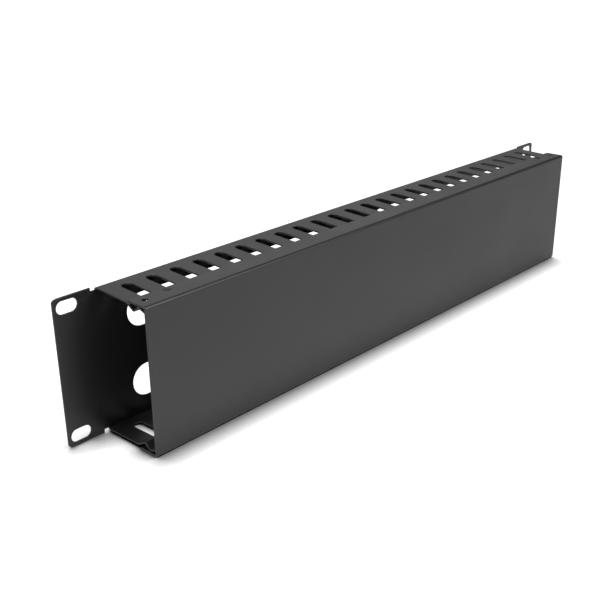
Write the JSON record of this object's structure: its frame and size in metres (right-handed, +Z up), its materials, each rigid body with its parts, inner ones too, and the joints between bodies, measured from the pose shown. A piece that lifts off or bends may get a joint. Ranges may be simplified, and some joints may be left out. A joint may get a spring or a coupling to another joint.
{
  "type": "horizontal cable manager",
  "caption": "Rack-mount horizontal cable duct folded from sheet steel, with slotted finger edges above and below and a clip-on front cover.",
  "frame": {"origin": "centre of the pattern of four rack slots, on the rear face of the rack panel, which bears on the rack's rails", "axes": "+X along the rack panel, the long way; +Y out of the rear face into the rack, so the cover is towards -Y; +Z up"},
  "size_m": [0.4826, 0.0444, 0.0882],
  "materials": {
    "powder_coat_channel": "fine-textured matt black powder coat",
    "powder_coat_cover": "fine-textured matt black powder coat"
  },
  "bodies": {
    "channel": {"slotted_channel": "powder_coat_channel"},
    "cover": {"front_cover": "powder_coat_cover"}
  },
  "joints": [
    {"name": "cover_pull", "type": "slide", "parent": "channel", "child": "cover", "axis": [0, -1, 0], "range_m": [0, 0.03]}
  ]
}
